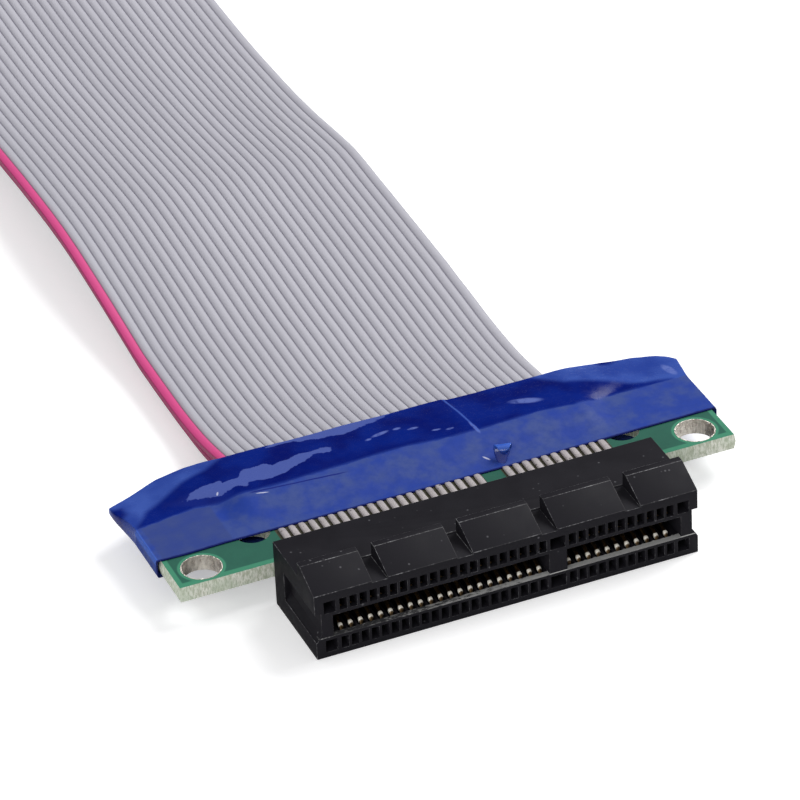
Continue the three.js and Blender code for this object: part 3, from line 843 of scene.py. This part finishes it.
def sheet_height(side, x, y, faces, on_board, share, shoulder):
    """Height of the outer surface of an upper (side 1) or lower (side -1) sheet before it is
    wrinkled. On a board the share is how far the sheet has climbed to the ribbon, and off the
    board how far it has closed on the other sheet beside the ribbons."""
    flat = faces[side] + side * (film + glue)
    over = between(ribbon_heights[side], y) + side * (ribbon_thickness / 2 + film + glue)
    over -= between(edge_tilt, y) * (x - ribbon_centre_x) / conductors
    if on_board:
        return flat + (over - flat) * share * tent(x, shoulder)
    middle = (between(ribbon_heights[1], y) + between(ribbon_heights[-1], y)) / 2
    beside = flat + (middle + side * (film + 0.05) - flat) * share
    return beside + (over - beside) * tent(x, shoulder)


def socket_tape_height(side, x, y):
    on_board = y <= board_rear_y
    share = blend(10.9, 15.6, y) if on_board else blend(board_rear_y, 23.0, y)
    shoulder = 3.2 if on_board else 3.4 + 6.6 * blend(board_rear_y, 20.0, y)
    height = sheet_height(side, x, y, board_faces, on_board, share, shoulder)
    slack = blend(board_rear_y - 1, board_rear_y + 2, y)
    height += side * slack * 0.1 * wrinkle(x, y * 1.6, 5.0, side)
    height += side * 0.018 * wrinkle(x, y, 0.9, side + 4)
    if side > 0:
        # The step at the end of the film's last turn
        before_seam = 1 - blend(seam_x - 0.06, seam_x + 0.19, x + seam_slope * y)
        height += 0.08 * before_seam * blend(15.4, 16.4, y)
    return height


def plug_tape_height(side, x, y):
    on_board = y >= plug_start_y
    low, high = (plug_seat_end - 0.1, plug_seat_end + 0.9) if on_board else (211.5, plug_start_y)
    shoulder = 2.0 if on_board else 2.2
    height = sheet_height(side, x, y, plug_faces, on_board, 1 - blend(low, high, y), shoulder)
    height += side * 0.05 * wrinkle(x, y * 1.6, 5.0, side + 9) * (1 - blend(217, 219, y))
    return height + side * 0.015 * wrinkle(x, y, 0.9, side + 12)


rear_edge = [
    (-29, 21.3), (-28.4, 21.6), (-26, 22.6), (-23.5, 23.6), (-20.6, 23.9), (-18.4, 23.75),
    (-17.3, 23.5), (-7.7, 23.4), (5.3, 23.35), (5.5, 23.15), (16.1, 23), (18, 23.15),
    (21.8, 23.2), (25.3, 22.95), (27.2, 22.2), (28.3, 21.4), (29, 20.5),
]
front_edge = [(-29.0, 10.5), (-25.7, 10.42), (-22.0, 10.55), (-4.4, 10.38), (6.2, 10.3),
              (17.3, 10.38), (29, 10.5)]


def tape_belt(name, half_width, columns, rows, front, rear, height_at, flare):
    """A loop of film: upper sheet, right fold, lower sheet, left fold, at each row.
    flare is the share that the belt gains in width once the board no longer fills it."""
    xs = [-half_width + 2 * half_width * i / (columns - 1) for i in range(columns)]
    rings = []
    for r in range(rows):
        t = r / (rows - 1)
        ring = []
        for side, order in ((1, xs), (-1, xs[::-1])):
            for x in order:
                y = between(front, x) * (1 - t) + between(rear, x) * t
                ring.append((x * (1 + flare(y)), y, height_at(side, x, y)))
            last_x, last_y, last_z = ring[-1]
            other = height_at(-side, side * half_width, last_y)
            for share in (0.12, 0.37, 0.63, 0.88):
                ring.append((last_x + side * folded_end, last_y, last_z + (other - last_z) * share))
        rings.append(ring)
    return loft(name, rings, capped=False)


socket_tape = tape_belt("blue_tape_socket", 28.82, 190, 60, front_edge, rear_edge,
                        socket_tape_height, lambda y: 0.024 * blend(board_rear_y, 21.5, y))
plug_front = [(-23, 212.6), (-21, 211.4), (21, 211.3), (23, 212.4)]
plug_rear = [(-23, 225.5), (0, 225.4), (23, 225.55)]
plug_tape = tape_belt("blue_tape_plug", 22.32, 120, 44, plug_front, plug_rear, plug_tape_height,
                      lambda y: 0.02 * (1 - blend(213, plug_start_y, y)))

# %% [markdown]
# The film isn't one blue. Where it sticks to the board the pale laminate shows through, where it
# spans free air it is deep navy, and where two sheets lie together at the ends it is painted
# lighter again, as a reflection. A ragged pale streak is a painted reflection on a wrinkle. Each
# zone is an outline in millimetres, and every vertex stores how far inside it lies. The shader then
# roughens the borders with noise.

# %% Tape zones
front_border = [
    (-28.7, 16.1), (-26.3, 16.5), (-24.2, 16.8), (-22.4, 17.1), (-20.2, 16.4), (-17.1, 15.9),
    (-13, 15.9), (-8.5, 16.1), (-4.3, 16.3), (-0.8, 16.3), (3.3, 15.9), (7.5, 15.9), (12.9, 16.3),
    (16.4, 15.8), (20, 16.9), (25.5, 16.9), (27.3, 17),
]
front_zone = [(-34, 6), (34, 6), (34, 17.2), *reversed(front_border), (-34, 15.9)]
deep_zones = [
    [*front_border, (26.2, 17.4), (24.6, 17.7), (22.9, 18.6), (19.4, 19.8), (17.4, 20.4),
     (15.9, 22), (14.7, 23.3), (14.7, 27), (-17.5, 27), (-17.5, 23.5), (-19.6, 22.1),
     (-22.4, 21.3), (-24.3, 20.2), (-26.6, 18.9), (-27.5, 17.7), (-28.6, 16.6)],
    [(-32, 20.9), (-28.5, 20.8), (-28.5, 19.4), (-29.1, 18.6), (-29.1, 16.9), (-29.6, 16.4),
     (-32, 17)],
    [(21.8, 23.8), (22.2, 22.6), (23.2, 22.5), (24, 23), (24, 24)],
]
# Outlines of a ragged pale streak: a painted reflection on a wrinkle of the film
sheen_zones = [
    [(-24, 18.7), (-22.7, 18.6), (-21.6, 19.2), (-19.1, 19.3), (-18.9, 18.8), (-17.1, 19.1),
     (-16.3, 20.1), (-14.2, 20.1), (-13.5, 19.5), (-10.4, 20.3), (-8.1, 20.1), (-7.3, 19.8),
     (-7.8, 19.2), (-9.2, 19.3), (-11.2, 18.4), (-13, 17.6), (-14.7, 17.3), (-16.8, 17.7),
     (-17, 16.6), (-18, 17.3), (-19.9, 17.1), (-22, 18.2), (-23.5, 18.5)],
    [(-13, 23), (-12, 24), (0.8, 24), (0.2, 23.3), (-1.5, 22.6), (-3.8, 22.1),
     (-5.3, 21.6), (-6.8, 21.9), (-8.5, 22.3), (-10.3, 22.9)],
]


def depth_inside(outline, x, y):
    """The distance to an outline: above 0 inside it, and below 0 outside."""
    nearest, inside = 1e9, False
    for i, (bx, by) in enumerate(outline):
        ax, ay = outline[i - 1]
        dx, dy = bx - ax, by - ay
        t = min(max(((x - ax) * dx + (y - ay) * dy) / (dx * dx + dy * dy), 0.0), 1.0)
        nearest = min(nearest, math.hypot(x - ax - t * dx, y - ay - t * dy))
        if (ay > y) != (by > y) and x < ax + dx * (y - ay) / dy:
            inside = not inside
    return nearest if inside else -nearest


zone_offset = 20.0
far_away = 9.0


def store_zones(piece, front=None):
    """A colour for each vertex: deep, painted sheen and front zone depths, and distance from the
    edge.
    A colour can't go below 0, so an offset is added to each depth. The plug's tape has no outlines:
    all that lies before its board is deep."""
    layer = piece.data.color_attributes.new("zones", "FLOAT_COLOR", "POINT")
    for vert in piece.data.vertices:
        x, y, _ = vert.co / MM
        depths, edge = [plug_start_y - y, -far_away, y - plug_start_y], far_away
        if front:
            edge = y - between(front, x)
            depths = [max(depth_inside(outline, x, y) for outline in zones)
                      for zones in (deep_zones, sheen_zones, [front_zone])]
        stored = [max(depth + zone_offset, 0.0) for depth in depths]
        layer.data[vert.index].color = (*stored, max(edge, 0.0))


store_zones(socket_tape, front_edge)
store_zones(plug_tape)
for piece in (socket_tape, plug_tape):
    wall = piece.modifiers.new("film", "SOLIDIFY")
    wall.thickness = 0.1 * MM
    settle(piece)
    smooth(piece.data, 50)

# %% [markdown]
# Glints sit where the film is puckered. They are small soft ellipses, all from one node group.

# %% Tape finish
blot_group, given = mask_group("blot", {
    "Across": 0.0, "Along": 0.0, "Middle X": 0.0, "Middle Y": 0.0, "Half length": 1.0,
    "Half width": 1.0, "Cosine": 1.0, "Sine": 0.0})
dx, dy = given["Across"] - given["Middle X"], given["Along"] - given["Middle Y"]
u = (dx * given["Cosine"] + dy * given["Sine"]).maths("DIVIDE", given["Half length"])
v = (dy * given["Cosine"] - dx * given["Sine"]).maths("DIVIDE", given["Half width"])
add(blot_group, "NodeGroupOutput", {"Mask": (u * u + v * v).ramp(1.5, 0.3)})


def blots(x, y, places):
    """The union of several ellipses: middle x and y, half length, half width, degrees."""
    union = None
    for middle_x, middle_y, half_length, half_width, degrees in places:
        angle = math.radians(degrees)
        mask = signal(x.tree, "ShaderNodeGroup", {
            "Across": x, "Along": y, "Middle X": middle_x, "Middle Y": middle_y,
            "Half length": half_length, "Half width": half_width,
            "Cosine": math.cos(angle), "Sine": math.sin(angle)}, node_tree=blot_group)
        union = mask if union is None else union.maths("MAXIMUM", mask)
    return union


def zone(depth, noise_value, amount, low, high, top=1.0):
    """A mask of a zone from its stored depth, with a border that noise makes ragged."""
    return depth.shifted(noise_value, amount).ramp(zone_offset + low, zone_offset + high, 0.0, top)


def film_colour(place, deep, front, mottle):
    """The film's blue: deep over free air, stuck to the board, and a painted reflection on flaps.
    """
    broad = place.cloud(5.0, 2.0)
    # Where two sheets lie together the film is painted lighter: a painted reflection
    flap_reflection = broad.ramp(0.35, 0.65).mix((36, 60, 140), (56, 82, 160))
    navy = broad.ramp(0.35, 0.65).mix((0, 14, 94), (2, 28, 114))
    stuck = place.cloud(2.6, 4.0).ramp(0.35, 0.65).mix((32, 58, 142), (56, 74, 134))
    stuck = mottle.ramp(0.4, 0.75, 0.0, 0.35).mix(stuck, (34, 56, 128))
    return front.mix(zone(deep, broad, 1.0, -0.5, 0.5).mix(flap_reflection, navy), stuck)


crease_y, crease_slope = 14.37, 0.084


def film_marks(place, sheen_depth, front_depth, edge, ragged, mottle):
    """Pairs of a mask and a colour, laid over the tape's blue in this order; most are painted
    light.
    """
    x, y, z = place.millimetres()
    glints = blots(x, y, [
        (-2.4, 19.75, 0.95, 0.26, 11), (-3.8, 19.3, 0.35, 0.18, 10), (-0.6, 19.85, 0.4, 0.2, 0),
        (0.8, 19.2, 0.55, 0.18, 0), (2.7, 17.9, 0.45, 0.15, -10), (3.9, 17.4, 0.4, 0.18, 0),
        (12.5, 18.8, 1.6, 0.5, -21), (6.1, 16.5, 1.1, 0.2, 95), (27.9, 18.9, 1.3, 0.45, -84)])
    # Small near-white painted highlights
    bright_glints = blots(x, y, [
        (-20, 17.6, 0.22, 0.1, 60), (-16.3, 15.35, 0.6, 0.08, -15), (5.4, 12.2, 0.4, 0.1, -50)])
    # The copper pour below the left end dulls the film
    ragged_x = x.shifted(mottle, 0.3)
    over_pour = ragged_x.ramp(-21.0, -21.3) * ragged_x.ramp(-28.4, -28.1)
    over_pour *= front_depth.ramp(zone_offset, zone_offset + 0.2)
    # A painted highlight along the seam, and painted shade in a crease over the board's rear edge
    seam_highlight = abs(x + y * seam_slope - seam_x).ramp(0.16, 0.05) * y.ramp(15.5, 15.7)
    crease_shade = abs(y + x * crease_slope - crease_y).ramp(0.14, 0.05)
    crease_shade *= x.ramp(-17.6, -17.0) * x.ramp(-7.0, -9.0)
    # The fold round the board's left side catches the light
    fold = x.ramp(-28.6, -28.85) * y.ramp(16.4, 15.8) * z.ramp(3.5, 3.9)
    return [
        # The ragged pale streak: a painted reflection
        (zone(sheen_depth, ragged, 1.3, -0.06, 0.06) * 0.85, (74, 90, 158)),
        (glints * mottle.ramp(0.3, 0.5, 0.25, 0.75), (96, 112, 178)),
        (bright_glints * 0.8, (190, 192, 214)),
        (over_pour * 0.6, (50, 64, 118)),
        (seam_highlight * 0.7, (64, 92, 172)),
        (crease_shade, (10, 30, 112)),
        (fold * 0.8, (62, 98, 188)),
        (edge.shifted(mottle, 0.2).ramp(0.26, 0.14), (12, 24, 88)),
    ]


def tape_finish(name, marked):
    made, place = material(name, specular=0.1)
    stored = add(place.tree, "ShaderNodeAttribute", attribute_name="zones").outputs
    deep, sheen, front_depth = Signal(place.tree, stored["Vector"]).parts()
    ragged = place.cloud(1.5, 5.0, 0.65)
    mottle = place.cloud(0.7, 4.0, 0.6)
    tone = film_colour(place, deep, zone(front_depth, ragged, 0.7, -0.1, 0.15), mottle)
    if marked:
        edge = Signal(place.tree, stored["Alpha"])
        for mask, colour in film_marks(place, sheen, front_depth, edge, ragged, mottle):
            tone = mask.mix(tone, colour)
    gloss = mottle.ramp(0.3, 0.7, 0.18, 0.32)
    gloss += zone(front_depth, ragged, 0.7, -0.1, 0.15, top=0.3)
    feed(made, color=tone, roughness=gloss, normal=place.cloud(0.5).bumped(0.15, 0.05))
    return made


dress(socket_tape, tape_finish("blue_film", True))
dress(plug_tape, tape_finish("blue_film_plug", False))

# %% [markdown]
# A small tongue of the film was torn up beside the key and has curled over. Its sections are
# rounded rectangles again, this time along a bent line in space.

# %% Torn tongue of film
# Each section's place, half width and half thickness
tongue_line = [
    (6.5, 10.9, 4.2, 0.3, 0.05), (6.6, 11.3, 4.45, 0.5, 0.06), (6.75, 11.7, 4.8, 0.7, 0.07),
    (6.95, 12, 5.15, 0.85, 0.08), (7.1, 12.1, 5.5, 0.9, 0.08), (7.1, 11.95, 5.75, 0.85, 0.08),
    (6.95, 11.6, 5.75, 0.7, 0.07), (6.8, 11.35, 5.5, 0.5, 0.06), (6.75, 11.3, 5.3, 0.25, 0.05),
]


def tongue_sections():
    points = [Vector(station[:3]) for station in tongue_line]
    for i, (*_, half_width, half_thick) in enumerate(tongue_line):
        along = heading(points, i)
        wide = Vector((1.0, -0.35, 0.25))
        wide = (wide - along * wide.dot(along)).normalized()
        thick = along.cross(wide)
        yield [points[i] + wide * (u * half_width) + thick * (v * half_thick)
               for u, v in rounded(0.7, 0.4)]


tape_curl = loft("tape_curl", list(tongue_sections()))
subdivide = tape_curl.modifiers.new("round", "SUBSURF")
subdivide.levels = subdivide.render_levels = 2
settle(tape_curl)
smooth(tape_curl.data, 60)
curled, place = material("torn_film")
fine = place.cloud(0.35)
height = place.millimetres()[2].shifted(fine, 1.2).ramp(4.6, 6.0)
feed(curled, color=height.mix((10, 36, 124), (48, 92, 190)),
     roughness=fine.ramp(0.3, 0.7, 0.14, 0.3), normal=fine.bumped(0.4, 0.05))
dress(tape_curl, curled)

# %% [markdown]
# Every piece now says which body it moves with, and the CAD nodes that the new pieces stand for
# are hidden. The two ribbons are free flat cords, and each one's path is worked out in metres.

# %% Bodies and hidden CAD nodes
for piece, slot in (
        (body, "housing"), (upper_contacts, "contact"), (lower_contacts, "contact"),
        (upper_tails, "plating"), (lower_tails, "plating"), (socket_tape, "tape"),
        (tape_curl, "tape"), (plug_tape, "tape"), (ribbon_upper_piece, "ribbon"),
        (ribbon_lower_piece, "ribbon")):
    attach(piece, "root")
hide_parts("socket_housing")
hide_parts(*[f"upper_contact_{i:02d}" for i in range(1, 33)])
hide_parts("socket_tape")
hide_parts("plug_tape")
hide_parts("ribbon_upper")
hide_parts("ribbon_lower")

for piece, line, length, with_pieces in (
        (ribbon_upper_piece, upper_line, upper_length, [plug_board, plug_tape]),
        (ribbon_lower_piece, lower_line, lower_length, [plug_board, plug_tape])):
    path = [(ribbon_centre_x * MM, p.x * MM, p.y * MM) for p in line]
    start = next(p for p in line if p.x > 23.2)
    round(length * MM, 4)
    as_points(path)
    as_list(with_pieces)

# %% [markdown]
# A plain pale floor catches the shadow. The photograph's background is white, so the floor adds
# some plain white for camera rays only, and the world is white to the camera too. The lamps stay
# gentle: a wide one above and behind to the right, and a weak one from the front left.

# %% Stage and light
floor_mesh = bpy.data.meshes.new("floor")
corners = [(-3.0, -3.0, 0), (3.0, -3.0, 0), (3.0, 3.0, 0), (-3.0, 3.0, 0)]
floor_mesh.from_pydata(corners, [], [(0, 1, 2, 3)])
floor = new_object("floor", floor_mesh)
floor.location.z = -0.03 * MM
floor_finish, _ = material("pale_floor", specular=0.0)
tree = floor_finish.node_tree
fill(tree.nodes["Principled BSDF"], {
    "Base Color": (0.8, 0.8, 0.8, 1), "Roughness": 0.9, "Emission Color": (1, 1, 1, 1),
    "Emission Strength": signal(tree, "ShaderNodeLightPath", output="Is Camera Ray") * 0.4})
dress(floor, floor_finish)
floor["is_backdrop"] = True

world = bpy.data.worlds.new("studio")
scene.world = world
world.use_nodes = True
tree = world.node_tree
camera_ray, glossy_ray, clear_ray = [
    signal(tree, "ShaderNodeLightPath", output=f"Is {kind} Ray")
    for kind in ("Camera", "Glossy", "Transmission")]
up = signal(tree, "ShaderNodeTexCoord", output="Generated").parts()[2]
sky = up.ramp(0.6, 0.95).mix((0.08, 0.08, 0.085, 1), (0.95, 0.95, 0.96, 1))
light = glossy_ray.mix((0.5, 0.5, 0.51, 1), sky)
seen = camera_ray.maths("MAXIMUM", clear_ray)
fill(tree.nodes["Background"], {"Color": seen.mix(light, (1, 1, 1, 1))})


def lamp(name, place, size, power):
    """An area lamp that faces the back of the socket."""
    data = bpy.data.lights.new(name, "AREA")
    data.size = size
    data.energy = power
    made = new_object(name, data)
    made.location = place
    made.rotation_euler = (Vector((0, 0.05, 0)) - Vector(place)).to_track_quat("-Z", "Y").to_euler()


lamp("key", (0.54, 0.22, 0.6), 0.5, 6.5)
lamp("fill", (-0.5, -0.52, 0.42), 0.35, 1.9)

# %% The sizes of the CAD model and of the scene
low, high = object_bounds()
{"cad": [list(cad_low), list(cad_high)], "visual": [list(low), list(high)]}
